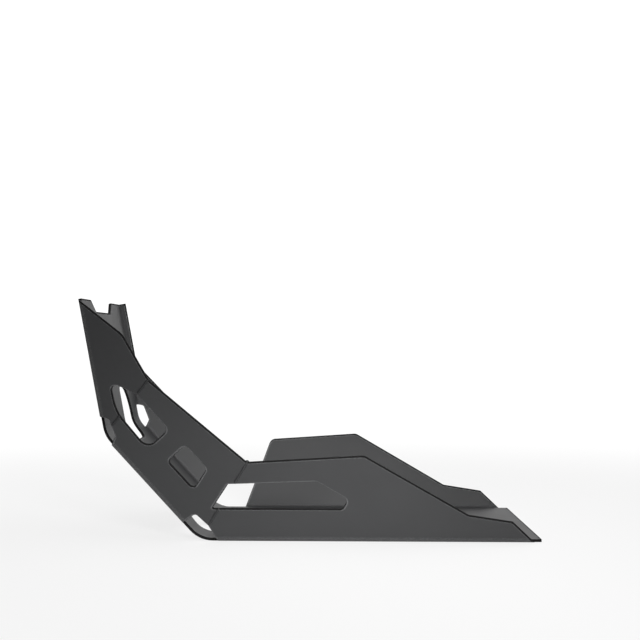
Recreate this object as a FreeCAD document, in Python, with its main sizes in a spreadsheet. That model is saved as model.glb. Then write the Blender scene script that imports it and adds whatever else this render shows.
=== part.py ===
import FreeCAD, Part
import math
import os

import Sketcher

# Motorcycle skid plate: one aluminium sheet, folded twice across its width into a front
# plate, a sloped middle plate and a flat bottom plate, with a flared wing along each side.
# +X points to the rear, +Y to the right-hand side and +Z up. The origin lies on the
# underside of the bottom plate, at the centre of its four mounting holes.

# Name, value and meaning of each driving size, in millimetres and degrees.
SIZES = [
    ("sheet_thickness", 2.5, "thickness of the sheet"),
    ("base_width", 250, "width over the corners where the wings leave the plates"),
    ("front_length", 126.4, "front plate, from its top edge to the front fold's corner"),
    ("middle_length", 127.7, "middle plate, from corner to corner of its two folds"),
    ("bottom_length", 309.5, "bottom plate, from the rear fold's corner to its rear edge"),
    ("front_slope_angle", 79.25, "slope of the front plate above the bottom plate"),
    ("middle_slope_angle", 47.2, "slope of the middle plate above the bottom plate"),
    ("front_flare_angle", 16, "lean of the front wings, outward from square"),
    ("middle_flare_angle", 12.5, "lean of the middle wings, outward from square"),
    ("bottom_flare_angle", 14, "lean of the bottom wings, outward from square"),
    ("block_height", 120, "block the sheet is hollowed from, clear of the wings' edges"),
    ("wing_bend_radius", 3.5, "inner radius where a wing leaves its plate"),
    ("fold_radius", 25.5, "inner radius of the two folds across the width"),
    ("front_relief_above", 18.3, "front relief notch, up the front plate from the fold"),
    ("front_relief_below", 11, "front relief notch, down the middle plate from the fold"),
    ("front_relief_upper_start", 15, "front relief notch, its upper corner above the fold"),
    ("front_relief_upper_height", 8.3, "front relief notch, height beside the front plate"),
    ("front_relief_lower_height", 9, "front relief notch, height beside the middle plate"),
    ("front_relief_lower_start", 7, "front relief notch, its peak below the fold"),
    ("front_relief_inset", 11, "how far the front fold is narrowed on each side"),
    ("rear_relief_above", 22.3, "rear relief notch, up the middle plate from the fold"),
    ("rear_relief_below", 17.4, "rear relief notch, along the bottom plate from the fold"),
    ("rear_relief_upper_start", 20.4, "rear relief notch, its upper corner above the fold"),
    ("rear_relief_upper_height", 15, "rear relief notch, height beside the middle plate"),
    ("rear_relief_lower_height", 14.7, "rear relief notch, height beside the bottom plate"),
    ("rear_relief_lower_start", 8.8, "rear relief notch, its peak behind the fold"),
    ("rear_relief_inset", 5.5, "how far the rear fold is narrowed on each side"),
    ("relief_corner_radius", 3, "rounding of the relief notches' upper corners"),
    ("shoulder_above", 87.2, "left front wing's shoulder, up the front plate"),
    ("shoulder_height", 35.5, "left front wing's shoulder, out from the front plate"),
    ("shoulder_radius", 20, "rounding of the shoulder"),
    ("waist_before", 8.7, "left wing's waist, ahead of the front fold's corner"),
    ("waist_height", 66.5, "left wing's waist, up from the middle plate"),
    ("hip_behind", 43.8, "start of the left bottom wing's top edge, behind the fold"),
    ("hip_height", 73.3, "height of the left bottom wing where that edge starts"),
    ("crest_behind", 147.9, "rear end of the left bottom wing's top edge"),
    ("crest_height", 79.6, "height of the left bottom wing at that end"),
    ("crest_radius", 7, "rounding of the crest"),
    ("tail_behind", 242.4, "foot of the long slope behind the crest"),
    ("tail_height", 25.7, "height of the tail at that foot"),
    ("tail_end_behind", 282, "rear end of the tail"),
    ("tail_end_height", 19.7, "height of the tail at its rear end"),
    ("wing_end_behind", 303, "where the wing runs out on the bottom plate"),
    ("right_lip_depth", 9, "right front wing, a lip, out from the front plate"),
    ("right_band_height", 39.7, "right middle wing, up from the middle plate"),
    ("right_band_end", 100.6, "rear end of the right middle wing's top edge"),
    ("right_band_turn_radius", 28, "turn of the right wing's top edge over the front fold"),
    ("right_restart_low", 28.5, "front end of the right bottom wing at its foot"),
    ("right_restart_high", 55.5, "front end of the right bottom wing at its top"),
    ("long_slot_front_above", 47.2, "slot over the front fold: tip, up the front plate"),
    ("long_slot_front_inset", 16.2, "slot over the front fold: out from the front plate"),
    ("long_slot_top_before", 6.9, "slot over the front fold: start of its top edge"),
    ("long_slot_top_height", 49.6, "slot over the front fold: top edge, up from the plate"),
    ("long_slot_rear", 35.1, "slot over the front fold: rear end"),
    ("long_slot_low_height", 23.3, "slot over the front fold: foot of its rear end"),
    ("long_slot_turn_before", 8.7, "slot over the front fold: turn of its lower edge"),
    ("long_slot_turn_height", 25.3, "slot over the front fold: height of that turn"),
    ("long_slot_turn_radius", 42, "slot over the front fold: rounding of that turn"),
    ("long_slot_low_radius", 9.5, "slot over the front fold: rounding of its lowest corner"),
    ("long_slot_rear_radius", 5, "slot over the front fold: rounding of its rear corner"),
    ("window_start", 55.6, "window in the middle wing: front end"),
    ("window_top_end", 84, "window in the middle wing: rear end at its top"),
    ("window_low_end", 89.7, "window in the middle wing: rear end at its foot"),
    ("window_low", 29.7, "window in the middle wing: foot, up from the plate"),
    ("window_high", 51.2, "window in the middle wing: top, up from the plate"),
    ("side_slot_low_start", 12.8, "slot in the bottom wing: front end at its foot"),
    ("side_slot_high_start", 27, "slot in the bottom wing: front end at its top"),
    ("side_slot_top_end", 106, "slot in the bottom wing: rear end of its top edge"),
    ("side_slot_nose", 134, "slot in the bottom wing: nose at its upper corner"),
    ("side_slot_foot_end", 129.5, "slot in the bottom wing: rear end of its foot"),
    ("side_slot_low", 31, "slot in the bottom wing: foot, up from the plate"),
    ("side_slot_high_front", 53, "slot in the bottom wing: top at the front"),
    ("side_slot_high", 56, "slot in the bottom wing: top at the rear"),
    ("side_slot_nose_height", 39.8, "slot in the bottom wing: height of the nose"),
    ("slot_corner_radius", 4, "rounding of the slots' corners"),
    ("opening_inner_edge", 13, "openings across the folds: inner edge, from the middle"),
    ("opening_outer_edge", 76, "openings across the folds: outer edge, from the middle"),
    ("front_opening_rise", 40, "front opening, up the front plate from the fold"),
    ("front_opening_fall", 18, "front opening, down the middle plate from the fold"),
    ("rear_opening_reach", 25, "rear openings, up and along the plates from the fold"),
    ("opening_inner_radius", 6, "rounding of the openings' inner corners"),
    ("opening_outer_radius", 18, "rounding of the openings' outer corners"),
    ("opening_shoulder_radius", 36, "rounding of the front opening's upper outer corner"),
    ("notch_top_width", 128, "notch in the front plate's top edge, at its mouth"),
    ("notch_floor_width", 90, "notch in the front plate's top edge, at its floor"),
    ("notch_depth", 11, "notch in the front plate's top edge, its depth"),
    ("bolt_spacing_length", 200, "mounting holes, centre to centre along the plate"),
    ("bolt_spacing_width", 160, "mounting holes, centre to centre across the plate"),
    ("bolt_hole_diameter", 9, "mounting holes, clear for an 8 mm screw"),
    ("bolt_front_margin", 53.5, "from the rear fold's corner to the front holes"),
]

DOCUMENT = FreeCAD.newDocument("skid_plate")
SHEET = DOCUMENT.addObject("Spreadsheet::Sheet", "Sizes")
for row, (alias, value, meaning) in enumerate(SIZES, start=1):
    SHEET.set("A%d" % row, meaning)
    SHEET.set("B%d" % row, str(value))
    SHEET.setAlias("B%d" % row, alias)
DOCUMENT.recompute()

BODY = DOCUMENT.addObject("PartDesign::Body", "skid_plate")
BODY.Label = "skid_plate"

# Lengths closer than this, in millimetres, count as equal where faces and edges are found.
NEAR = 1e-4

# The side view's frame has its origin at the front fold's corner, its first axis down along
# the middle plate's underside and its second axis square to it, into the tray.
FOLD_TURN = "(Sizes.front_slope_angle - Sizes.middle_slope_angle)"
REAR_CORNER_X = "-(Sizes.bolt_spacing_length / 2 + Sizes.bolt_front_margin)"
FRONT_CORNER_X = REAR_CORNER_X + " - Sizes.middle_length * cos(Sizes.middle_slope_angle)"
FRONT_CORNER_Z = "Sizes.middle_length * sin(Sizes.middle_slope_angle)"
HALF_WIDTH = "Sizes.base_width / 2"
OUTER_BEND_RADIUS = "(Sizes.wing_bend_radius + Sizes.sheet_thickness)"
OUTER_FOLD_RADIUS = "(Sizes.fold_radius + Sizes.sheet_thickness)"
REACH = "(Sizes.front_length + Sizes.middle_length + Sizes.bottom_length)"


def number(expression):
    """The value of an expression of the sheet's sizes."""
    value = BODY.evalExpression(expression)
    return float(getattr(value, "Value", value))


def on_front(above, out="0"):
    """Side-view point, up the front plate from its fold and out from its face."""
    return ("-(%s) * cos(%s) + (%s) * sin(%s)" % (above, FOLD_TURN, out, FOLD_TURN),
            "(%s) * sin(%s) + (%s) * cos(%s)" % (above, FOLD_TURN, out, FOLD_TURN))


def on_middle(along, out="0"):
    """Side-view point, down the middle plate from the front fold and out from its face."""
    return (along, out)


def on_bottom(behind, up="0"):
    """Side-view point, behind the rear fold's corner and up from the underside."""
    slope = "Sizes.middle_slope_angle"
    return ("Sizes.middle_length + (%s) * cos(%s) - (%s) * sin(%s)" % (behind, slope, up, slope),
            "(%s) * sin(%s) + (%s) * cos(%s)" % (behind, slope, up, slope))


def attached_sketch(name, role, base, axis, angle):
    """An empty sketch on one of the body's own planes, shifted and turned by expressions."""
    plane = next(item for item in BODY.Origin.OriginFeatures if item.Role == role)
    sketch = BODY.newObject("Sketcher::SketchObject", name)
    sketch.AttachmentSupport = [(plane, "")]
    sketch.MapMode = "FlatFace"
    sketch.AttachmentOffset = FreeCAD.Placement(FreeCAD.Vector(), FreeCAD.Rotation(axis, 1))
    for component, expression in zip("xyz", base):
        sketch.setExpression("AttachmentOffset.Base." + component, expression)
    sketch.setExpression("AttachmentOffset.Rotation.Angle", angle)
    return sketch


def side_sketch(name, leftward="0"):
    """A sketch in the side view's frame, moved to the left of the plate's middle."""
    return attached_sketch(name, "XZ_Plane", (FRONT_CORNER_X, FRONT_CORNER_Z, leftward),
                           FreeCAD.Vector(0, 0, 1), "-Sizes.middle_slope_angle")


def cross_sketch(name, corner_x, corner_z, turn):
    """A sketch across the plate: first axis to the right, then turned about that axis."""
    return attached_sketch(name, "YZ_Plane", ("0", corner_z, corner_x),
                           FreeCAD.Vector(1, 0, 0), turn)


def bind(sketch, label, constraint, expression):
    """Adds a sketch dimension and ties it to an expression."""
    index = sketch.addConstraint(constraint)
    sketch.renameConstraint(index, label)
    sketch.setExpression("Constraints." + label, expression)


def place_point(sketch, label, geometry, end, corner):
    """Ties a sketch point to its two coordinates."""
    for axis, kind, zero_line, expression in ((0, "DistanceX", -2, corner[0]),
                                              (1, "DistanceY", -1, corner[1])):
        if expression == "0":
            sketch.addConstraint(Sketcher.Constraint("PointOnObject", geometry, end, zero_line))
            continue
        value = number(expression)
        bind(sketch, "%s_%s" % (label, "xy"[axis]),
             Sketcher.Constraint(kind, -1, 1, geometry, end, value), expression)


def draw_outline(sketch, prefix, corners):
    """Draws a closed outline. A corner is a point, or a point and its rounding."""
    count = len(corners)
    points = [FreeCAD.Vector(number(c[0]), number(c[1]), 0) for c in corners]
    rounds = [c[2] if len(c) > 2 else None for c in corners]
    entries = []
    exits = []
    for i in range(count):
        back = (points[i - 1] - points[i]).normalize()
        ahead = (points[(i + 1) % count] - points[i]).normalize()
        setback = 0.0
        if rounds[i]:
            setback = number(rounds[i]) / math.tan(back.getAngle(ahead) / 2)
        entries.append(points[i] + back * setback)
        exits.append(points[i] + ahead * setback)
    lines = [sketch.addGeometry(Part.LineSegment(exits[i], entries[(i + 1) % count]))
             for i in range(count)]
    for i in range(count):
        before = lines[i - 1]
        after = lines[i]
        label = "%s%d" % (prefix, i + 1)
        if not rounds[i]:
            sketch.addConstraint(Sketcher.Constraint("Coincident", before, 2, after, 1))
            place_point(sketch, label, after, 1, corners[i])
            continue
        round_corner(sketch, label, before, after, corners[i], (points[i], entries[i], exits[i]))


def round_corner(sketch, label, before, after, corner, places):
    """Rounds the corner between two lines and ties down the point where they would meet."""
    point, entry, leave = places
    radius = number(corner[2])
    middle = (entry + leave) * 0.5
    toward = (middle - point).normalize()
    centre = point + toward * math.hypot(radius, (entry - point).Length)
    start = math.atan2(entry.y - centre.y, entry.x - centre.x)
    end = math.atan2(leave.y - centre.y, leave.x - centre.x)
    counterclockwise = (entry - centre).cross(leave - centre).z > 0
    if not counterclockwise:
        start, end = end, start
    circle = Part.Circle(centre, FreeCAD.Vector(0, 0, 1), radius)
    arc = sketch.addGeometry(Part.ArcOfCircle(circle, start, end))
    first, last = (1, 2) if counterclockwise else (2, 1)
    sketch.addConstraint(Sketcher.Constraint("Tangent", before, 2, arc, first))
    sketch.addConstraint(Sketcher.Constraint("Tangent", arc, last, after, 1))
    mark = sketch.addGeometry(Part.Point(point), True)
    sketch.addConstraint(Sketcher.Constraint("PointOnObject", mark, 1, before))
    sketch.addConstraint(Sketcher.Constraint("PointOnObject", mark, 1, after))
    place_point(sketch, label, mark, 1, corner)
    bind(sketch, label + "_radius", Sketcher.Constraint("Radius", arc, radius), corner[2])


def through_cut(name, sketch, way):
    """Cuts right through, to the left, to the right or both ways, and checks that it cut."""
    before = BODY.Shape.Volume
    cut = BODY.newObject("PartDesign::Pocket", name)
    cut.Profile = sketch
    cut.Type = "ThroughAll"
    cut.Midplane = way == "both"
    cut.Reversed = way == "left"
    DOCUMENT.recompute()
    if BODY.Shape.Volume > before - 1:
        raise RuntimeError(name + " removed nothing")
    return cut


def mirror_to_right(name, cuts):
    """Repeats cuts of the left side on the right side."""
    plane = next(item for item in BODY.Origin.OriginFeatures if item.Role == "XZ_Plane")
    before = BODY.Shape.Volume
    mirrored = BODY.newObject("PartDesign::Mirrored", name)
    mirrored.Originals = cuts
    mirrored.MirrorPlane = (plane, [""])
    BODY.Tip = mirrored
    DOCUMENT.recompute()
    if BODY.Shape.Volume > before - 1:
        raise RuntimeError(name + " removed nothing")


def block():
    """A solid block with the plate's three undersides, open-topped later."""
    sketch = side_sketch("block_profile")
    draw_outline(sketch, "block", [
        on_front("Sizes.front_length", "0"),
        ("0", "0"),
        ("Sizes.middle_length", "0"),
        on_bottom("Sizes.bottom_length", "0"),
        on_bottom("Sizes.bottom_length", "Sizes.block_height"),
        on_front("Sizes.front_length", "Sizes.block_height"),
    ])
    pad = BODY.newObject("PartDesign::Pad", "block")
    pad.Profile = sketch
    pad.Midplane = True
    pad.setExpression("Length", "Sizes.base_width + 2 * " + REACH)
    DOCUMENT.recompute()


def flared_sides(name, corner_x, corner_z, slope, flare):
    """Cuts both sides of the block to the lean of one plate's wings."""
    sketch = cross_sketch(name + "_profile", corner_x, corner_z, slope)
    foot = HALF_WIDTH + " - Sizes.base_width * tan(%s)" % flare
    top = HALF_WIDTH + " + %s * tan(%s)" % (REACH, flare)
    side = HALF_WIDTH + " + 2 * " + REACH
    for prefix, sign in (("left", "-"), ("right", "")):
        draw_outline(sketch, prefix, [
            ("%s(%s)" % (sign, foot), "-Sizes.base_width"),
            ("%s(%s)" % (sign, top), REACH),
            ("%s(%s)" % (sign, side), REACH),
            ("%s(%s)" % (sign, side), "-Sizes.base_width"),
        ])
    through_cut(name, sketch, "both")


def plate_normals():
    """Inward unit normals of the front, middle and bottom plates."""
    slopes = [number("Sizes.front_slope_angle"), number("Sizes.middle_slope_angle"), 0.0]
    return [FreeCAD.Vector(math.sin(math.radians(slope)), 0, math.cos(math.radians(slope)))
            for slope in slopes]


def hollow():
    """Hollows the block to the sheet's thickness, open above and at both ends."""
    open_faces = []
    for index, face in enumerate(BODY.Shape.Faces, start=1):
        normal = face.normalAt(0, 0)
        is_plate = any((normal + inward).Length < NEAR for inward in plate_normals())
        if abs(normal.y) < NEAR and not is_plate:
            open_faces.append("Face%d" % index)
    solid_block = BODY.Tip
    shell = BODY.newObject("PartDesign::Thickness", "sheet")
    shell.Base = (solid_block, open_faces)
    shell.Join = "Intersection"
    shell.Intersection = True
    shell.Reversed = True
    shell.setExpression("Value", "Sizes.sheet_thickness")
    DOCUMENT.recompute()


def relief_notches():
    """Clears the corners where the folds meet the wings, so that the sheet can be bent."""
    overrun = "-2 * " + OUTER_BEND_RADIUS
    cuts = []
    for name, inset, corners in (
        ("front_relief", "Sizes.front_relief_inset", [
            on_front("Sizes.front_relief_above", overrun),
            on_front("Sizes.front_relief_above", "0"),
            on_front("Sizes.front_relief_upper_start", "Sizes.front_relief_upper_height"),
            on_middle("Sizes.front_relief_lower_start", "Sizes.front_relief_lower_height"),
            on_middle("Sizes.front_relief_below", "0"),
            on_middle("Sizes.front_relief_below", overrun),
        ]),
        ("rear_relief", "Sizes.rear_relief_inset", [
            on_middle("Sizes.middle_length - Sizes.rear_relief_above", overrun),
            on_middle("Sizes.middle_length - Sizes.rear_relief_above", "0"),
            on_middle("Sizes.middle_length - Sizes.rear_relief_upper_start",
                      "Sizes.rear_relief_upper_height"),
            on_bottom("Sizes.rear_relief_lower_start", "Sizes.rear_relief_lower_height"),
            on_bottom("Sizes.rear_relief_below", "0"),
            on_bottom("Sizes.rear_relief_below", overrun),
        ]),
    ):
        rounded = [corner + ("Sizes.relief_corner_radius",) if i in (2, 3) else corner
                   for i, corner in enumerate(corners)]
        sketch = side_sketch(name + "_outline", "%s - %s" % (HALF_WIDTH, inset))
        draw_outline(sketch, "corner", rounded)
        cuts.append(through_cut(name, sketch, "left"))
    mirror_to_right("right_reliefs", cuts)


def edges_along(line_tests):
    """Names of the tip's straight edges whose two ends both pass one of the tests."""
    names = []
    for index, edge in enumerate(BODY.Shape.Edges, start=1):
        ends = [vertex.Point for vertex in edge.Vertexes]
        if len(ends) == 2 and any(all(test(end) for end in ends) for test in line_tests):
            names.append("Edge%d" % index)
    return names


def plate_distances(point):
    """A point's distances in from the undersides of the front, middle and bottom plates."""
    front_corner = FreeCAD.Vector(number(FRONT_CORNER_X), 0, number(FRONT_CORNER_Z))
    rear_corner = FreeCAD.Vector(number(REAR_CORNER_X), 0, 0)
    corners = [front_corner, front_corner, rear_corner]
    return [(point - corner).dot(normal) for corner, normal in zip(corners, plate_normals())]


def round_edges(name, radius, line_tests):
    """Rounds the edges that pass the tests, one for each test."""
    edges = edges_along(line_tests)
    if len(edges) != len(line_tests):
        raise RuntimeError("%s found %d edges, not %d" % (name, len(edges), len(line_tests)))
    before = BODY.Tip
    rounding = BODY.newObject("PartDesign::Fillet", name)
    rounding.Base = (before, edges)
    rounding.setExpression("Radius", radius)
    DOCUMENT.recompute()


def bends():
    """Gives the folds and the wings' feet their bend radii, inside and out."""
    thickness = number("Sizes.sheet_thickness")
    half = number(HALF_WIDTH)
    flares = [number("Sizes.%s_flare_angle" % name) for name in ("front", "middle", "bottom")]

    def fold_test(first, depth):
        def test(point):
            distances = plate_distances(point)
            return all(abs(distances[first + i] - depth) < NEAR for i in (0, 1))
        return test

    def foot_test(plate, depth, side):
        lean = math.radians(flares[plate])
        across = half + depth * math.tan(lean) - depth / math.cos(lean)

        def test(point):
            distance = plate_distances(point)[plate]
            return abs(distance - depth) < NEAR and abs(point.y - side * across) < NEAR
        return test

    for face, depth, fold_radius, foot_radius in (
        ("outer", 0, OUTER_FOLD_RADIUS, OUTER_BEND_RADIUS),
        ("inner", thickness, "Sizes.fold_radius", "Sizes.wing_bend_radius"),
    ):
        folds = [fold_test(first, depth) for first in (0, 1)]
        feet = [foot_test(plate, depth, side) for plate in range(3) for side in (-1, 1)]
        round_edges(face + "_folds", fold_radius, folds)
        round_edges(face + "_feet", foot_radius, feet)


def left_wing_edge():
    """Trims the left wing to its outline, from the front tip to the tail."""
    above = "2 * Sizes.crest_height"
    beyond = "Sizes.bottom_length + 2 * Sizes.sheet_thickness"
    sketch = side_sketch("left_wing_outline", "%s - %s" % (HALF_WIDTH, OUTER_BEND_RADIUS))
    draw_outline(sketch, "corner", [
        on_front("Sizes.front_length", "0"),
        on_front("Sizes.shoulder_above", "Sizes.shoulder_height") + ("Sizes.shoulder_radius",),
        on_middle("-Sizes.waist_before", "Sizes.waist_height"),
        on_bottom("Sizes.hip_behind", "Sizes.hip_height"),
        on_bottom("Sizes.crest_behind", "Sizes.crest_height") + ("Sizes.crest_radius",),
        on_bottom("Sizes.tail_behind", "Sizes.tail_height"),
        on_bottom("Sizes.tail_end_behind", "Sizes.tail_end_height"),
        on_bottom("Sizes.wing_end_behind", "0"),
        on_bottom("Sizes.wing_end_behind", "-2 * Sizes.sheet_thickness"),
        on_bottom(beyond, "-2 * Sizes.sheet_thickness"),
        on_bottom(beyond, above),
        on_front("Sizes.front_length + Sizes.shoulder_height", "3 * Sizes.shoulder_height"),
        on_front("Sizes.front_length + Sizes.shoulder_height", "0"),
    ])
    through_cut("left_wing_edge", sketch, "left")


def right_wing_edge():
    """Trims the right wing: a lip, a low band, a gap, then the left side's tail."""
    above = "2 * Sizes.crest_height"
    beyond = "Sizes.bottom_length + 2 * Sizes.sheet_thickness"
    band = ("(Sizes.right_lip_depth - Sizes.right_band_height * cos(%s)) / sin(%s)"
            % (FOLD_TURN, FOLD_TURN))
    sketch = side_sketch("right_wing_outline", "-(%s - %s)" % (HALF_WIDTH, OUTER_BEND_RADIUS))
    draw_outline(sketch, "corner", [
        on_front("Sizes.front_length + Sizes.shoulder_height", "Sizes.right_lip_depth"),
        on_middle(band, "Sizes.right_band_height") + ("Sizes.right_band_turn_radius",),
        on_middle("Sizes.right_band_end", "Sizes.right_band_height") + ("Sizes.crest_radius",),
        on_middle("Sizes.middle_length - Sizes.rear_relief_above", "0"),
        on_middle("Sizes.middle_length - Sizes.rear_relief_above", "-2 * Sizes.sheet_thickness"),
        on_bottom("Sizes.right_restart_low", "-2 * Sizes.sheet_thickness"),
        on_bottom("Sizes.right_restart_low", "0"),
        on_bottom("Sizes.right_restart_high", "Sizes.hip_height") + ("Sizes.crest_radius",),
        on_bottom("Sizes.crest_behind", "Sizes.crest_height") + ("Sizes.crest_radius",),
        on_bottom("Sizes.tail_behind", "Sizes.tail_height"),
        on_bottom("Sizes.tail_end_behind", "Sizes.tail_end_height"),
        on_bottom("Sizes.wing_end_behind", "0"),
        on_bottom("Sizes.wing_end_behind", "-2 * Sizes.sheet_thickness"),
        on_bottom(beyond, "-2 * Sizes.sheet_thickness"),
        on_bottom(beyond, above),
        on_front("Sizes.front_length + Sizes.shoulder_height", "3 * Sizes.shoulder_height"),
    ])
    through_cut("right_wing_edge", sketch, "right")


def wing_slots():
    """Cuts the slots and the window in the wings."""
    corner = ("Sizes.slot_corner_radius",)
    low = ("Sizes.long_slot_low_radius",)
    rear = ("Sizes.long_slot_rear_radius",)
    turn = ("Sizes.long_slot_turn_radius",)
    sketch = side_sketch("long_slot_outline")
    draw_outline(sketch, "corner", [
        on_front("Sizes.long_slot_front_above", "Sizes.long_slot_front_inset") + corner,
        on_middle("-Sizes.long_slot_top_before", "Sizes.long_slot_top_height") + corner,
        on_middle("Sizes.long_slot_rear", "Sizes.long_slot_top_height") + rear,
        on_middle("Sizes.long_slot_rear", "Sizes.long_slot_low_height") + low,
        on_middle("-Sizes.long_slot_turn_before", "Sizes.long_slot_turn_height") + turn,
    ])
    through_cut("long_slot", sketch, "left")

    sketch = side_sketch("window_outline")
    draw_outline(sketch, "corner", [
        on_middle("Sizes.window_start", "Sizes.window_low") + corner,
        on_middle("Sizes.window_start", "Sizes.window_high") + corner,
        on_middle("Sizes.window_top_end", "Sizes.window_high") + corner,
        on_middle("Sizes.window_low_end", "Sizes.window_low") + corner,
    ])
    through_cut("window", sketch, "left")

    sketch = side_sketch("side_slot_outline")
    draw_outline(sketch, "corner", [
        on_bottom("Sizes.side_slot_low_start", "Sizes.side_slot_low"),
        on_bottom("Sizes.side_slot_high_start", "Sizes.side_slot_high_front"),
        on_bottom("Sizes.side_slot_top_end", "Sizes.side_slot_high") + corner,
        on_bottom("Sizes.side_slot_nose", "Sizes.side_slot_nose_height") + corner,
        on_bottom("Sizes.side_slot_foot_end", "Sizes.side_slot_low") + corner,
    ])
    through_cut("side_slot", sketch, "left")


def fold_openings(name, corner_x, corner_z, slopes, reaches, top_round, signs):
    """Cuts openings across a fold: signs has a minus for one at the left, a blank for the right."""
    upper, lower = slopes
    sketch = cross_sketch(name + "_outline", corner_x, corner_z,
                          "(%s + %s) / 2 - 90" % (upper, lower))
    half_turn = "cos((%s - %s) / 2)" % (upper, lower)
    top = "%s * %s" % (reaches[0], half_turn)
    foot = "-%s * %s" % (reaches[1], half_turn)
    for index, sign in enumerate(signs):
        inner = sign + "Sizes.opening_inner_edge"
        outer = sign + "Sizes.opening_outer_edge"
        draw_outline(sketch, "opening%d_" % (index + 1), [
            (inner, foot, "Sizes.opening_inner_radius"),
            (outer, foot, "Sizes.opening_outer_radius"),
            (outer, top, top_round),
            (inner, top, "Sizes.opening_inner_radius"),
        ])
    through_cut(name, sketch, "both")


def top_notch():
    """Cuts the notch in the middle of the front plate's top edge."""
    sketch = cross_sketch("top_notch_outline", FRONT_CORNER_X, FRONT_CORNER_Z,
                          "Sizes.front_slope_angle - 90")
    floor = "Sizes.front_length - Sizes.notch_depth"
    above = "Sizes.front_length + Sizes.notch_depth"
    draw_outline(sketch, "corner", [
        ("-Sizes.notch_floor_width / 2", floor),
        ("Sizes.notch_floor_width / 2", floor),
        ("Sizes.notch_top_width / 2", "Sizes.front_length"),
        ("Sizes.notch_top_width / 2", above),
        ("-Sizes.notch_top_width / 2", above),
        ("-Sizes.notch_top_width / 2", "Sizes.front_length"),
    ])
    through_cut("top_notch", sketch, "both")


def mounting_holes():
    """Drills the four mounting holes in the bottom plate."""
    sketch = attached_sketch("mounting_hole_centres", "XY_Plane", ("0", "0", "0"),
                             FreeCAD.Vector(0, 0, 1), "0")
    radius = number("Sizes.bolt_hole_diameter / 2")
    for name, sign in (("front", "-"), ("rear", "")):
        centre = (sign + "Sizes.bolt_spacing_length / 2", "-Sizes.bolt_spacing_width / 2")
        place = FreeCAD.Vector(number(centre[0]), number(centre[1]), 0)
        circle = sketch.addGeometry(Part.Circle(place, FreeCAD.Vector(0, 0, 1), radius))
        place_point(sketch, name, circle, 3, centre)
        bind(sketch, name + "_diameter", Sketcher.Constraint("Diameter", circle, 2 * radius),
             "Sizes.bolt_hole_diameter")
    holes = through_cut("mounting_holes", sketch, "both")
    mirror_to_right("right_mounting_holes", [holes])


def check_and_export():
    """Stops if anything failed, then writes the sheet."""
    DOCUMENT.recompute()
    for item in DOCUMENT.Objects:
        if "Invalid" in item.State or "Error" in item.State:
            raise RuntimeError("%s failed: %s" % (item.Name, item.State))
    shape = BODY.Shape
    if shape.isNull() or not shape.isValid() or len(shape.Solids) != 1:
        raise RuntimeError("the sheet is not one valid solid")
    os.makedirs("parts", exist_ok=True)
    shape.exportStep("parts/%s.step" % BODY.Label)


block()
flared_sides("front_sides", FRONT_CORNER_X, FRONT_CORNER_Z,
             "Sizes.front_slope_angle", "Sizes.front_flare_angle")
flared_sides("middle_sides", FRONT_CORNER_X, FRONT_CORNER_Z,
             "Sizes.middle_slope_angle", "Sizes.middle_flare_angle")
flared_sides("bottom_sides", REAR_CORNER_X, "0", "0", "Sizes.bottom_flare_angle")
hollow()
relief_notches()
bends()
left_wing_edge()
right_wing_edge()
wing_slots()
fold_openings("front_opening", FRONT_CORNER_X, FRONT_CORNER_Z,
              ("Sizes.front_slope_angle", "Sizes.middle_slope_angle"),
              ("Sizes.front_opening_rise", "Sizes.front_opening_fall"),
              "Sizes.opening_shoulder_radius", [""])
fold_openings("rear_openings", REAR_CORNER_X, "0", ("Sizes.middle_slope_angle", "0"),
              ("Sizes.rear_opening_reach", "Sizes.rear_opening_reach"),
              "Sizes.opening_outer_radius", ["-", ""])
top_notch()
mounting_holes()
check_and_export()
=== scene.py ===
"""Looks for the motorcycle skid plate: powder coat, dressed weld seams, studio and camera.

Everything is in metres, in the frame of the solid: +X to the rear, +Y to the right-hand
side, +Z up, with the origin under the bottom plate at the centre of its mounting holes.
"""

import math
import random
from collections import namedtuple

import bmesh
import bpy
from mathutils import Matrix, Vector
from mathutils.bvhtree import BVHTree


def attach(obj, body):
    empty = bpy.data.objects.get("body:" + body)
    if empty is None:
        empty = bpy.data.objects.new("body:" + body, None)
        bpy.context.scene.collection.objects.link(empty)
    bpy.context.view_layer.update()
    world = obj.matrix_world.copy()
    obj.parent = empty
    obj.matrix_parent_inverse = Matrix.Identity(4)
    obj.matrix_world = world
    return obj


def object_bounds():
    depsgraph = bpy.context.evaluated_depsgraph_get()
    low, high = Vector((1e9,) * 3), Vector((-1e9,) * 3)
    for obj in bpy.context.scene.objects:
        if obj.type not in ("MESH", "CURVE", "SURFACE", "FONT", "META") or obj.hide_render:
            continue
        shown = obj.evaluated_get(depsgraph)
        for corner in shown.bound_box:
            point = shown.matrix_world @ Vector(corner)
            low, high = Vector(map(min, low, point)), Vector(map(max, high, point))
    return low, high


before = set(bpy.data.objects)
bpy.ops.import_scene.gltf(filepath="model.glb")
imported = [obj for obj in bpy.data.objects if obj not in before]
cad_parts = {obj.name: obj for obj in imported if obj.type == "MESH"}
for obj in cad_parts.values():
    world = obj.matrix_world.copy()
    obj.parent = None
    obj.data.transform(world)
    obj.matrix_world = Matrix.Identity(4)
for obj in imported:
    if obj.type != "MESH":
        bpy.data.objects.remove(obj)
solid_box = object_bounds()

MM = 0.001
LEFT = -1
RIGHT = 1
AHEAD = -1
BEHIND = 1
BLACK = (0, 0, 0, 1)
WHITE = (1, 1, 1, 1)

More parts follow.
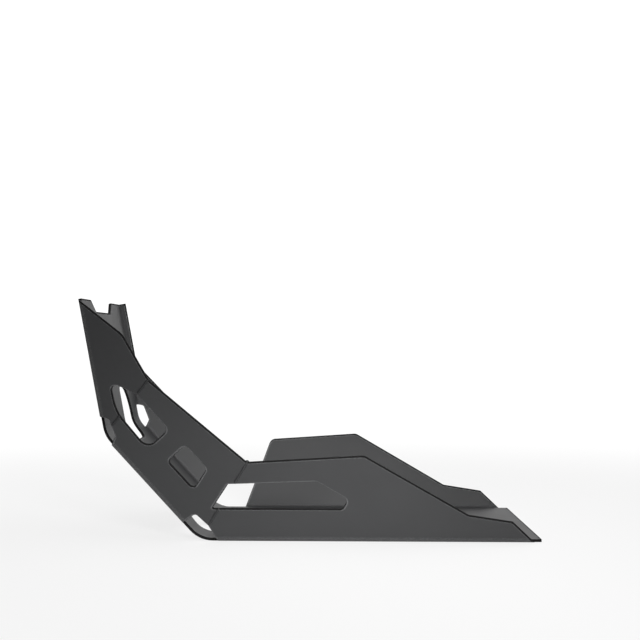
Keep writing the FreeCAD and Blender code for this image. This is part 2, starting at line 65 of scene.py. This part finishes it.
# The sheet's own sizes, as the solid has them. Each pair of wings is the slope of its plate
# and its own lean outward from square, from the front plate to the bottom plate.
FRONT_SLOPE = math.radians(79.25)
MIDDLE_SLOPE = math.radians(47.2)
BOTTOM_SLOPE = 0.0
FRONT_FLARE = math.radians(16)
MIDDLE_FLARE = math.radians(12.5)
BOTTOM_FLARE = math.radians(14)
WINGS = ((FRONT_SLOPE, FRONT_FLARE), (MIDDLE_SLOPE, MIDDLE_FLARE), (BOTTOM_SLOPE, BOTTOM_FLARE))
HALF_WIDTH = 125 * MM
SHEET = 2.5 * MM
MIDDLE_LENGTH = 127.7 * MM
REAR_FOLD = Vector((-153.5 * MM, 0, 0))
FRONT_FOLD = REAR_FOLD + MIDDLE_LENGTH * Vector((-math.cos(MIDDLE_SLOPE), 0, math.sin(MIDDLE_SLOPE)))

# How the solid's faces are told apart: a ray starts just inside a face, a length within
# this share of the thickness is one thickness, and a normal this near a flat one is flat.
RAY_START = 0.01 * MM
THICKNESS_SLACK = 0.2
FLAT_SLACK = 0.02

# The powder coat. Its cloudiness moves the colour and the roughness by these amounts.
COAT_COLOUR = (0.044, 0.0445, 0.0459)
COAT_ROUGHNESS = 0.56
COAT_IOR = 1.5
COAT_SPECULAR = 0.4
COAT_GRAIN = 0.05 * MM
GRAIN_STRENGTH = 0.25
GRAIN_SIZE = 0.6 * MM
CLOUD_SIZE = 50 * MM
CLOUD_TONE = 0.12
CLOUD_SHEEN = 0.04

# The coat over the welds is coarser and looks darker, most of all at the front fold.
WELD_COAT_ROUGHNESS = 0.55
FRONT_WELD_COLOUR = (0.024, 0.0244, 0.0252)
FRONT_WELD_GRAIN = 0.2 * MM
REAR_WELD_COLOUR = (0.032, 0.0324, 0.0334)
REAR_WELD_GRAIN = 0.15 * MM

# The welds where two wings meet, ground nearly flush before the plate was coated. The bead
# is drawn by rows of points across it, at these shares of its half width.
WELD_WIDTH = 2.6 * MM
WELD_HEIGHT = 0.5 * MM
WELD_RIPPLE = 0.15 * MM
WELD_WANDER = 0.12
WELD_SINK = 0.05 * MM
WELD_ROOT = 0.5 * MM
WELD_STEP = 0.5 * MM
WELD_REACH = 130 * MM
WELD_END_GAP = 0.4 * MM
WELD_END_TAPER = 0.3
SHORTEST_WELD = 5 * MM
WELD_PLACES = (-1.0, -0.55, 0.0, 0.55, 1.0)

# The lump where a left-hand weld ends at the wings' top edge.
LUMP_SIZE = Vector((1.9 * MM, 1.1 * MM, 1.3 * MM))
LUMP_UNEVENNESS = 0.06
LUMP_DIVISIONS = 3

# Beside the cut edges that face this way, up and to the rear, the coat gets painted shade,
# with a line of painted highlight within. The reach is how far inside the sheet such an edge
# is felt. On a bend the next facets are felt too, and the allowances take that off again.
SHADED_SIDE = Vector((0.5, 0, 0.85)).normalized()
RIM_REACH = 2.2 * MM
RIM_LEAN = 1.25
RIM_SAMPLES = 8
HOLLOW_ALLOWANCE = 0.08
ROUND_ALLOWANCE = 0.05
DARK_START = 0.16
DARK_FULL = 0.30
LIGHT_START = 0.025
LIGHT_FULL = 0.09
# Colours of the painted shade on the cut walls and rims, and of the painted highlight line.
PAINTED_RIM_SHADE = (0.003, 0.003, 0.003, 1)
PAINTED_RIM_HIGHLIGHT = (0.16, 0.162, 0.165, 1)
RIM_ROUGHNESS = 0.95

# The camera stands level, square to the side of the plate, and sees it as in the photograph.
CAMERA_AT = Vector((-45.3 * MM, -1400 * MM, 183.6 * MM))
CAMERA_LENS = 79.7
CAMERA_SENSOR = 36
CAMERA_ROLL = math.radians(0.28)
CAMERA_SHIFT = 0.028

# The studio is bright behind the plate and dim ahead of it on the camera's side.
BRIGHT_SIDE = Vector((0.35, 0.9, 0.2)).normalized()
BRIGHT_FULL = 0.9
DIMMEST = 0.08
BRIGHTEST = 1.15
KEY_AT = Vector((0.35, -1.5, 0.55))
KEY_AIM = Vector((-0.03, -0.13, 0.06))
KEY_CONE = math.radians(20)
KEY_BLEND = 0.6
KEY_RADIUS = 0.2
KEY_POWER = 95
TOP_AT = Vector((0.3, -0.4, 1.2))
TOP_AIM = Vector((0.05, -0.1, 0))
TOP_SIZE = 0.9
TOP_POWER = 3.6

# The floor glows toward white with distance for the camera, and in a pool round the plate
# for what the coat mirrors.
FLOOR_SIZE = 12
FLOOR_DROP = 0.2 * MM
FLOOR_COLOUR = 0.8
FLOOR_ROUGHNESS = 0.9
FLOOR_SPECULAR = 0.1
FLOOR_GLOW = 0.8
FLOOR_GLOW_START = 0.4
FLOOR_GLOW_END = 1.4
POOL_GLOW = 0.8
POOL_START = 0.35
POOL_END = 0.9

Seam = namedtuple("Seam", "corner along outward across")


def inward(slope):
    """Unit normal of a plate, from its underside into the tray."""
    return Vector((math.sin(slope), 0, math.cos(slope)))


def wing_normal(slope, flare, side):
    """Outward unit normal of a wing, left or right."""
    return math.cos(flare) * Vector((0, side, 0)) - math.sin(flare) * inward(slope)


def add_node(tree, kind, **settings):
    """Adds a shader node with its settings."""
    node = tree.nodes.new(kind)
    for name, value in settings.items():
        setattr(node, name, value)
    return node


def fill(tree, sockets, values):
    """Fills input sockets, each with a value or with another node's output."""
    for socket, value in zip(sockets, values):
        if isinstance(value, bpy.types.NodeSocket):
            tree.links.new(value, socket)
        elif value is not None:
            socket.default_value = value


def math_node(tree, operation, first, second, clamp=False):
    """Adds a math node and returns its output."""
    node = add_node(tree, "ShaderNodeMath", operation=operation, use_clamp=clamp)
    fill(tree, node.inputs, (first, second))
    return node.outputs[0]


def vector_node(tree, operation, first, second=None, output="Vector"):
    """Adds a vector math node and returns the named output."""
    node = add_node(tree, "ShaderNodeVectorMath", operation=operation)
    fill(tree, node.inputs, (first, second))
    return node.outputs[output]


def ramp_node(tree, value, low, high, start, end):
    """Adds a smooth map range node: low to high becomes start to end."""
    node = add_node(tree, "ShaderNodeMapRange", interpolation_type="SMOOTHSTEP")
    fill(tree, node.inputs, (value, low, high, start, end))
    return node.outputs["Result"]


def mix_colour(tree, factor, first, second):
    """Mixes two colours and returns the result."""
    node = add_node(tree, "ShaderNodeMix", data_type="RGBA")
    fill(tree, (node.inputs["Factor"], node.inputs["A"], node.inputs["B"]), (factor, first, second))
    return node.outputs["Result"]


def mix_value(tree, factor, first, second):
    """Mixes two numbers and returns the result."""
    return math_node(tree, "ADD", math_node(tree, "MULTIPLY", factor, second),
                     math_node(tree, "MULTIPLY", math_node(tree, "SUBTRACT", 1.0, factor), first))


def new_group(name, inputs, outputs):
    """A shader node group with named sockets. Inputs are (name, default)."""
    group = bpy.data.node_groups.new(name, "ShaderNodeTree")
    for label, default in inputs:
        socket = group.interface.new_socket(label, in_out="INPUT", socket_type="NodeSocketFloat")
        socket.default_value = default
    for label in outputs:
        group.interface.new_socket(label, in_out="OUTPUT", socket_type="NodeSocketFloat")
    return group, add_node(group, "NodeGroupInput"), add_node(group, "NodeGroupOutput")


def powder_grain_group():
    """The fine pebbled surface of powder coat, and its faint cloudiness."""
    group, start, end = new_group(
        "powder_grain", [("Grain Size", GRAIN_SIZE), ("Cloud Size", CLOUD_SIZE)], ["Grain", "Cloud"])
    place = add_node(group, "ShaderNodeTexCoord").outputs["Object"]
    for label in ("Grain", "Cloud"):
        texture = add_node(group, "ShaderNodeTexNoise")
        scale = math_node(group, "DIVIDE", 1.0, start.outputs[label + " Size"])
        fill(group, (texture.inputs["Vector"], texture.inputs["Scale"]), (place, scale))
        group.links.new(texture.outputs["Fac"], end.inputs[label])
    return group


def cut_rim_group():
    """Masks beside the cut edges that face the shaded side: a rim of painted shade and a line of
    painted highlight.

    Rays go inside the sheet, leaned toward the shaded side along its surface, and the share
    that soon meets a wall is how near the edge is.
    """
    group, start, end = new_group(
        "cut_rim", [("Reach", RIM_REACH), ("Allowance", 0.0)], ["Shaded", "Lit"])
    true_normal = add_node(group, "ShaderNodeNewGeometry").outputs["True Normal"]
    shaded_side = tuple(SHADED_SIDE)
    raised = vector_node(group, "DOT_PRODUCT", true_normal, shaded_side, "Value")
    along = vector_node(group, "SUBTRACT", shaded_side,
                        vector_node(group, "MULTIPLY", true_normal, raised))
    leaned = vector_node(group, "SUBTRACT", true_normal,
                         vector_node(group, "MULTIPLY", along, (RIM_LEAN, RIM_LEAN, RIM_LEAN)))
    inside = add_node(group, "ShaderNodeAmbientOcclusion", samples=RIM_SAMPLES, inside=True,
                      only_local=True)
    fill(group, (inside.inputs["Distance"], inside.inputs["Normal"]),
         (start.outputs["Reach"], vector_node(group, "NORMALIZE", leaned)))
    open_share = math_node(group, "ADD", inside.outputs["AO"], start.outputs["Allowance"])
    near = math_node(group, "SUBTRACT", 1.0, open_share)
    painted_shade = ramp_node(group, near, DARK_START, DARK_FULL, 0.0, 1.0)
    light = ramp_node(group, near, LIGHT_START, LIGHT_FULL, 0.0, 1.0)
    group.links.new(painted_shade, end.inputs["Shaded"])
    group.links.new(math_node(group, "SUBTRACT", light, painted_shade, clamp=True), end.inputs["Lit"])
    return group


def coat_material(name, colour, roughness, grain_height, grain_group):
    """Matt powder coat: dark and fine-grained, with an even sheen."""
    material = bpy.data.materials.new(name)
    material.use_nodes = True
    tree = material.node_tree
    shader = tree.nodes["Principled BSDF"]
    shader.inputs["Metallic"].default_value = 0.0
    shader.inputs["IOR"].default_value = COAT_IOR
    shader.inputs["Specular IOR Level"].default_value = COAT_SPECULAR
    grain = add_node(tree, "ShaderNodeGroup", node_tree=grain_group)
    tone = mix_colour(tree, grain.outputs["Cloud"],
                      (*[(1 - CLOUD_TONE) * value for value in colour], 1),
                      (*[(1 + CLOUD_TONE) * value for value in colour], 1))
    tree.links.new(tone, shader.inputs["Base Color"])
    spread = ramp_node(tree, grain.outputs["Cloud"], 0.0, 1.0,
                       roughness - CLOUD_SHEEN, roughness + CLOUD_SHEEN)
    tree.links.new(spread, shader.inputs["Roughness"])
    bump = add_node(tree, "ShaderNodeBump")
    bump.inputs["Strength"].default_value = GRAIN_STRENGTH
    bump.inputs["Distance"].default_value = grain_height
    tree.links.new(grain.outputs["Grain"], bump.inputs["Height"])
    tree.links.new(bump.outputs["Normal"], shader.inputs["Normal"])
    return material


def show_cut_edges(material, rim_group):
    """Paints shade on the cut walls and on the rims beside the shaded-side edges, with a painted
    highlight line within; the painted rims are also rougher.
    """
    tree = material.node_tree
    shader = tree.nodes["Principled BSDF"]
    tone = shader.inputs["Base Color"].links[0].from_socket
    spread = shader.inputs["Roughness"].links[0].from_socket
    rim = add_node(tree, "ShaderNodeGroup", node_tree=rim_group)
    rim.inputs["Reach"].default_value = RIM_REACH
    allowance = add_node(tree, "ShaderNodeAttribute", attribute_name="bend_allowance").outputs["Fac"]
    tree.links.new(allowance, rim.inputs["Allowance"])
    wall = add_node(tree, "ShaderNodeAttribute", attribute_name="cut_wall").outputs["Fac"]
    # Painted shade: the cut walls and the shaded-side rims go near black. Painted highlight: the
    # lighter line within them.
    painted_shade = math_node(tree, "MAXIMUM", wall, rim.outputs["Shaded"])
    tone = mix_colour(tree, rim.outputs["Lit"], tone, PAINTED_RIM_HIGHLIGHT)
    tone = mix_colour(tree, painted_shade, tone, PAINTED_RIM_SHADE)
    tree.links.new(tone, shader.inputs["Base Color"])
    rough = mix_value(tree, painted_shade, spread, RIM_ROUGHNESS)
    tree.links.new(rough, shader.inputs["Roughness"])


def is_thickness(length):
    """Whether a ray met something about one thickness of the sheet away."""
    return length is not None and abs(length - SHEET) < THICKNESS_SLACK * SHEET


def mark_faces(sheet, tree):
    """Marks the cut walls, with more than a thickness behind them, and both sides of the bends."""
    flats = [inward(slope) for slope, flare in WINGS]
    flats += [wing_normal(slope, flare, side) for slope, flare in WINGS for side in (LEFT, RIGHT)]
    walls = sheet.data.attributes.new("cut_wall", "FLOAT", "FACE")
    bends = sheet.data.attributes.new("bend_allowance", "FLOAT", "FACE")
    for face in sheet.data.polygons:
        start = face.center - RAY_START * face.normal
        depth = tree.ray_cast(start, -face.normal)[3]
        turned = min(min((face.normal - flat).length, (face.normal + flat).length) for flat in flats)
        allowance = HOLLOW_ALLOWANCE if face.normal.z > 0 else ROUND_ALLOWANCE
        walls.data[face.index].value = 0.0 if is_thickness(depth) else 1.0
        bends.data[face.index].value = 0.0 if turned < FLAT_SLACK else allowance


def mitre(fold, wings, side):
    """The line where two wings meet: its foot, its way up, outward, and across to each wing."""
    normals = [wing_normal(slope, flare, side) for slope, flare in wings]
    along = normals[0].cross(normals[1]).normalized()
    if along.z < 0:
        along = -along
    across = []
    for normal, away in zip(normals, (AHEAD, BEHIND)):
        reach = normal.cross(along).normalized()
        across.append(reach if reach.x * away > 0 else -reach)
    corner = fold + Vector((0, side * HALF_WIDTH, 0))
    return Seam(corner, along, (normals[0] + normals[1]).normalized(), across)


def seam_spans(seam, tree):
    """Stretches of a seam's line that lie on the sheet, as distances from its foot."""
    spans = []
    start = None
    steps = int(WELD_REACH / WELD_STEP)
    for step in range(steps + 1):
        distance = step * WELD_STEP
        above = seam.corner + distance * seam.along + SHEET * seam.outward
        covered = is_thickness(tree.ray_cast(above, -seam.outward)[3])
        if covered and start is None:
            start = distance
        if start is not None and not covered:
            if distance - start > SHORTEST_WELD:
                spans.append((start + WELD_END_GAP, distance - WELD_STEP - WELD_END_GAP))
            start = None
    return spans


def lay_bead(shape, seam, first, last, dice):
    """Adds one closed bead between two distances along a seam."""
    count = max(2, int((last - first) / WELD_STEP))
    rows = []
    for step in range(count + 1):
        centre = seam.corner + (first + (last - first) * step / count) * seam.along
        wander = dice.uniform(-WELD_WANDER, WELD_WANDER) * WELD_WIDTH
        swell = WELD_HEIGHT + WELD_RIPPLE * dice.uniform(-1, 1)
        fade = min(1.0, min(step, count - step) * WELD_STEP / (WELD_WIDTH / 2))
        row = []
        for place in WELD_PLACES:
            lateral = seam.across[0] if place < 0 else seam.across[1]
            rise = swell * fade * (1 - place * place) - WELD_SINK
            shift = abs(place) * WELD_WIDTH / 2 * (1 - WELD_END_TAPER * (1 - fade))
            row.append(shape.verts.new(centre + (shift + abs(place) * wander) * lateral
                                       + rise * seam.outward))
        row.append(shape.verts.new(centre - WELD_ROOT * seam.outward))
        rows.append(row)
    for row, ahead in zip(rows, rows[1:]):
        for i in range(len(row)):
            shape.faces.new((row[i - 1], row[i], ahead[i], ahead[i - 1]))
    shape.faces.new(rows[0])
    shape.faces.new(rows[-1])


def end_lump(shape, seam, last, dice):
    """Adds the small lump where a bead ends at the wings' top edge."""
    lump_at = seam.corner + (last + WELD_END_GAP) * seam.along - SHEET / 2 * seam.outward
    turn = Vector((0, 0, 1)).rotation_difference(seam.along).to_matrix().to_4x4()
    lump = bmesh.ops.create_icosphere(shape, subdivisions=LUMP_DIVISIONS, radius=1.0)
    for vertex in lump["verts"]:
        swell = 1 + dice.uniform(-LUMP_UNEVENNESS, LUMP_UNEVENNESS)
        vertex.co = lump_at + turn @ (vertex.co * LUMP_SIZE * swell)


def weld_seam(name, fold, wings, side, tree, material):
    """A dressed weld along the mitre of two wings, broken where slots cross it."""
    seam = mitre(fold, wings, side)
    dice = random.Random(name)
    shape = bmesh.new()
    spans = seam_spans(seam, tree)
    for first, last in spans:
        lay_bead(shape, seam, first, last, dice)
    if side == LEFT:
        end_lump(shape, seam, spans[-1][1], dice)
    bmesh.ops.recalc_face_normals(shape, faces=shape.faces)
    mesh = bpy.data.meshes.new(name)
    shape.to_mesh(mesh)
    shape.free()
    mesh.shade_smooth()
    mesh.materials.append(material)
    piece = bpy.data.objects.new(name, mesh)
    bpy.context.scene.collection.objects.link(piece)
    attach(piece, "root")


def dress_sheet(sheet, tree, grain_group):
    """Coats the sheet and shows its cut edges."""
    coat = coat_material("matt_black_powder_coat", COAT_COLOUR, COAT_ROUGHNESS, COAT_GRAIN, grain_group)
    show_cut_edges(coat, cut_rim_group())
    sheet.data.materials.clear()
    sheet.data.materials.append(coat)
    mark_faces(sheet, tree)


def weld_seams(tree, grain_group):
    """The three seams. The right-hand wing is broken at the rear fold and has none there."""
    front_coat = coat_material("coat_over_front_weld", FRONT_WELD_COLOUR, WELD_COAT_ROUGHNESS,
                               FRONT_WELD_GRAIN, grain_group)
    rear_coat = coat_material("coat_over_rear_weld", REAR_WELD_COLOUR, WELD_COAT_ROUGHNESS,
                              REAR_WELD_GRAIN, grain_group)
    weld_seam("front_seam_left", FRONT_FOLD, WINGS[:2], LEFT, tree, front_coat)
    weld_seam("rear_seam_left", REAR_FOLD, WINGS[1:], LEFT, tree, rear_coat)
    weld_seam("front_seam_right", FRONT_FOLD, WINGS[:2], RIGHT, tree, front_coat)


def floor():
    """A wide pale floor that keeps the plate's shadow and runs out into white."""
    mesh = bpy.data.meshes.new("floor")
    shape = bmesh.new()
    bmesh.ops.create_grid(shape, x_segments=1, y_segments=1, size=FLOOR_SIZE)
    shape.to_mesh(mesh)
    shape.free()
    plane = bpy.data.objects.new("floor", mesh)
    plane.location.z = solid_box[0][2] - FLOOR_DROP
    bpy.context.scene.collection.objects.link(plane)

    material = bpy.data.materials.new("pale_floor")
    material.use_nodes = True
    tree = material.node_tree
    shader = tree.nodes["Principled BSDF"]
    shader.inputs["Roughness"].default_value = FLOOR_ROUGHNESS
    shader.inputs["Specular IOR Level"].default_value = FLOOR_SPECULAR
    path = add_node(tree, "ShaderNodeLightPath")
    place = add_node(tree, "ShaderNodeTexCoord").outputs["Object"]
    away = vector_node(tree, "LENGTH", place, output="Value")
    glow = ramp_node(tree, away, FLOOR_GLOW_START, FLOOR_GLOW_END, FLOOR_GLOW, 1.0)
    pool = ramp_node(tree, away, POOL_START, POOL_END, POOL_GLOW, 0.0)
    pale = (FLOOR_COLOUR, FLOOR_COLOUR, FLOOR_COLOUR, 1)
    shown = math_node(tree, "ADD", math_node(tree, "MULTIPLY", path.outputs["Is Camera Ray"], glow),
                      math_node(tree, "MULTIPLY", path.outputs["Is Glossy Ray"], pool))
    tree.links.new(mix_colour(tree, shown, pale, BLACK), shader.inputs["Base Color"])
    shader.inputs["Emission Color"].default_value = WHITE
    tree.links.new(shown, shader.inputs["Emission Strength"])
    plane.data.materials.append(material)


def studio_world():
    """White to the camera. As a light it is bright behind the plate and dim ahead of it."""
    world = bpy.data.worlds.new("studio")
    world.use_nodes = True
    tree = world.node_tree
    background = tree.nodes["Background"]
    background.inputs["Color"].default_value = WHITE
    seen = add_node(tree, "ShaderNodeLightPath").outputs["Is Camera Ray"]
    direction = add_node(tree, "ShaderNodeTexCoord").outputs["Generated"]
    facing = vector_node(tree, "DOT_PRODUCT", direction, tuple(BRIGHT_SIDE), "Value")
    light = ramp_node(tree, facing, 0.0, BRIGHT_FULL, DIMMEST, BRIGHTEST)
    tree.links.new(math_node(tree, "MAXIMUM", light, seen), background.inputs["Strength"])
    bpy.context.scene.world = world


def hang_lamp(lamp, at, aim):
    """Hangs a lamp at a place and turns it to its aim."""
    holder = bpy.data.objects.new(lamp.name, lamp)
    holder.location = at
    holder.rotation_euler = (aim - at).to_track_quat("-Z", "Y").to_euler()
    bpy.context.scene.collection.objects.link(holder)


def key_lamp():
    """A soft round lamp on the camera's side, whose light fades out toward the cone's edge."""
    lamp = bpy.data.lights.new("key_front", "SPOT")
    lamp.spot_size = KEY_CONE
    lamp.spot_blend = KEY_BLEND
    lamp.shadow_soft_size = KEY_RADIUS
    lamp.energy = KEY_POWER
    hang_lamp(lamp, KEY_AT, KEY_AIM)


def top_lamp():
    """A square softbox over the plate."""
    lamp = bpy.data.lights.new("top", "AREA")
    lamp.shape = "SQUARE"
    lamp.size = TOP_SIZE
    lamp.energy = TOP_POWER
    hang_lamp(lamp, TOP_AT, TOP_AIM)


def camera():
    """The photograph's camera."""
    lens = bpy.data.cameras.new("camera")
    lens.lens = CAMERA_LENS
    lens.sensor_width = CAMERA_SENSOR
    lens.shift_y = CAMERA_SHIFT
    holder = bpy.data.objects.new("camera", lens)
    holder.location = CAMERA_AT
    holder.rotation_euler = (math.pi / 2, -CAMERA_ROLL, 0)
    bpy.context.scene.collection.objects.link(holder)
    bpy.context.scene.camera = holder


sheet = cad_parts["skid_plate"]
solid = BVHTree.FromPolygons([vertex.co for vertex in sheet.data.vertices],
                             [face.vertices for face in sheet.data.polygons])
powder_grain = powder_grain_group()
dress_sheet(sheet, solid, powder_grain)
weld_seams(solid, powder_grain)

floor()
studio_world()
key_lamp()
top_lamp()
camera()
bpy.context.scene.view_settings.view_transform = "Standard"
